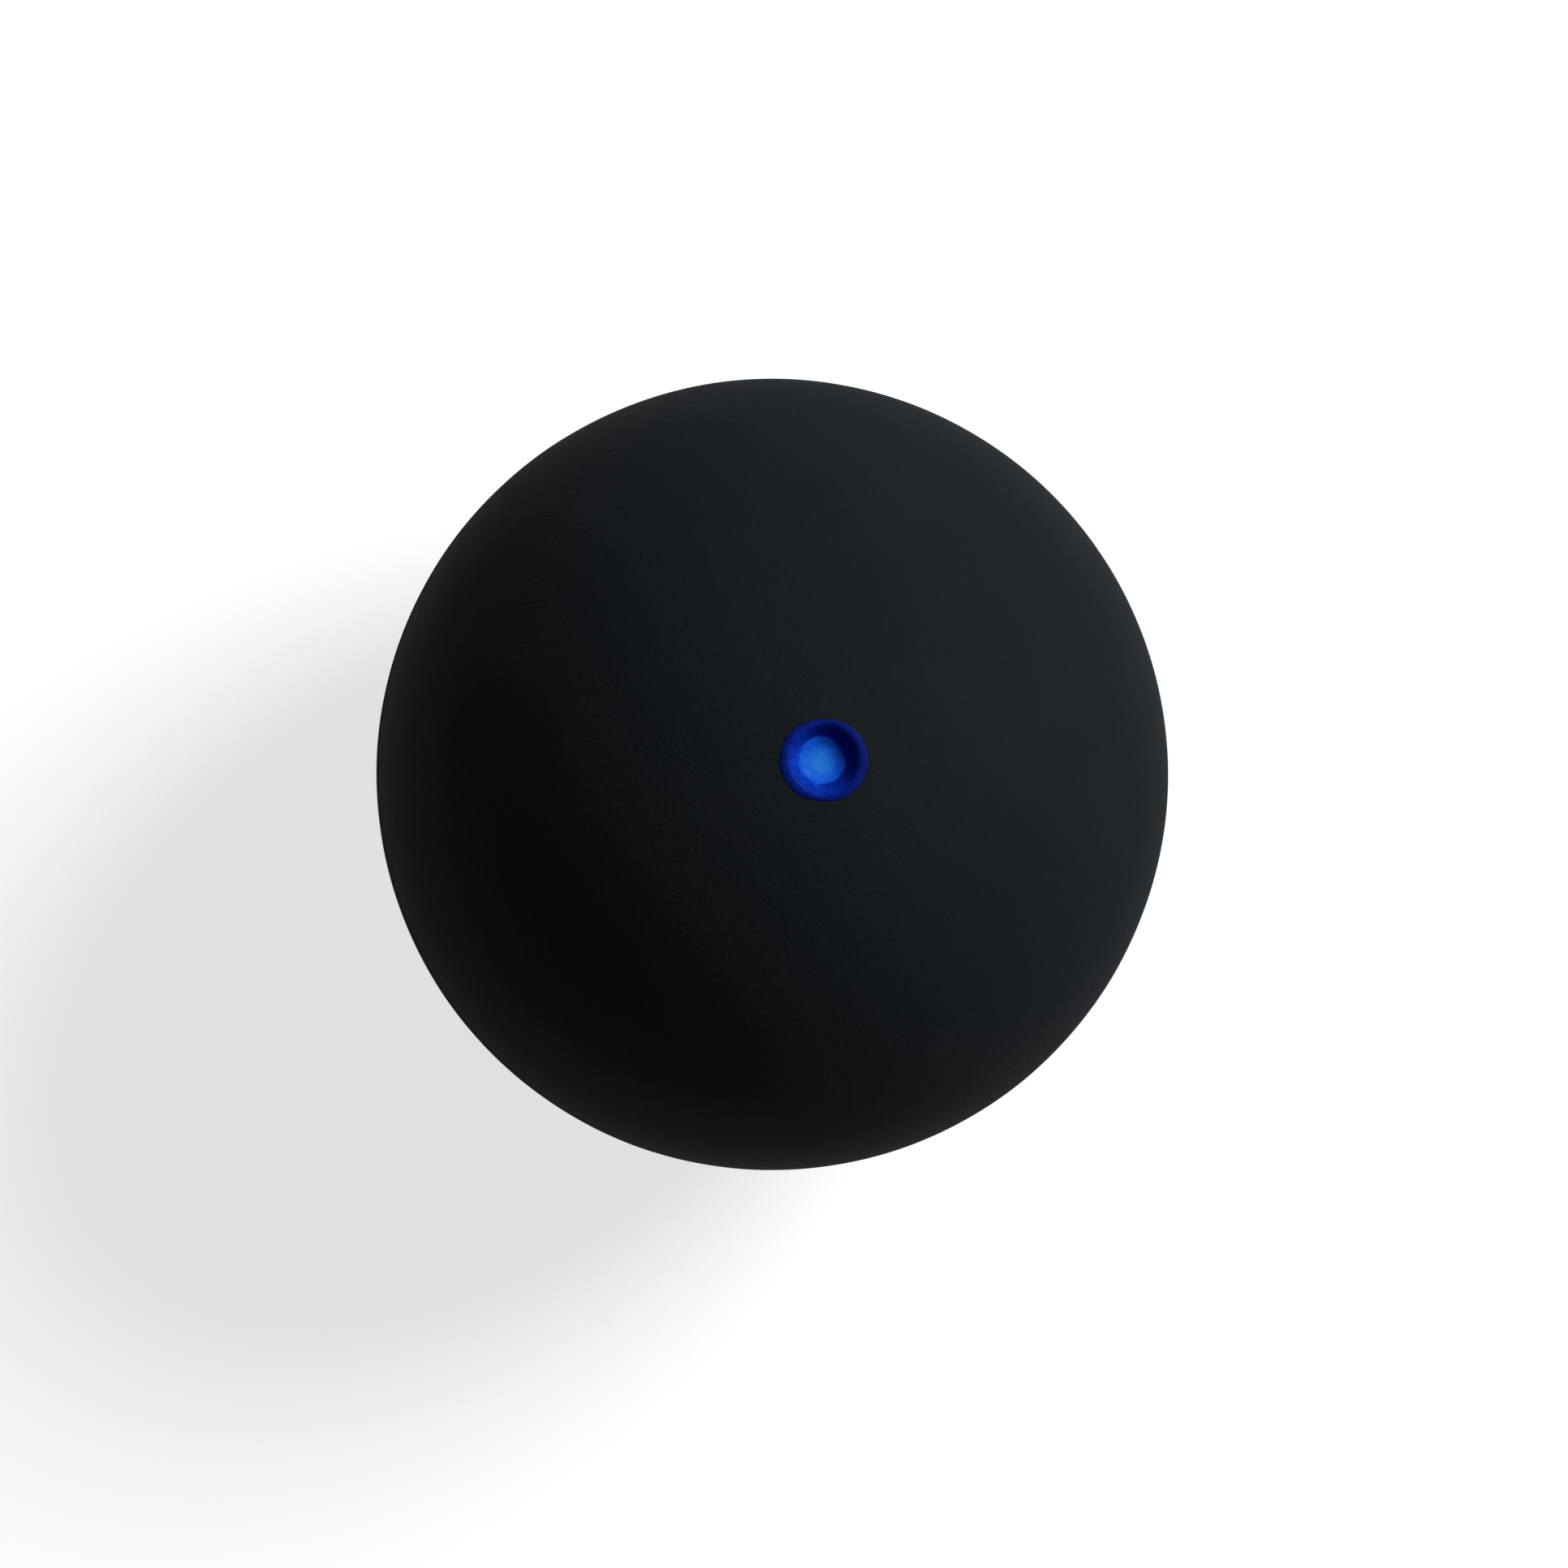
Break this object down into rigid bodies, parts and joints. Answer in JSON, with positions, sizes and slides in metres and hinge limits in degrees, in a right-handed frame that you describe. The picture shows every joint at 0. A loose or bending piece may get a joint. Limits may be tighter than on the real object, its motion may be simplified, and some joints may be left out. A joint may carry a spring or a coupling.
{
  "type": "squash ball",
  "caption": "Small hollow black rubber squash ball, moulded as half shells cemented rim to rim, with a recessed blue paint dot that marks its bounce speed.",
  "frame": {"origin": "the ball's centre, in the plane of the cemented seam", "axes": "+Z along the moulding axis, out through the middle of the paint dot; the seam lies in the XY plane; X and Y are any two square axes, because the ball is round about Z"},
  "size_m": [0.04, 0.04, 0.04],
  "materials": {
    "shell_rubber": "matte",
    "rubber_cement": "satin",
    "blue_paint": "gloss"
  },
  "bodies": {
    "root": {"dotted_half_shell": "shell_rubber", "plain_half_shell": "shell_rubber", "seam_cement": "rubber_cement", "dot_paint": "blue_paint"}
  },
  "joints": []
}
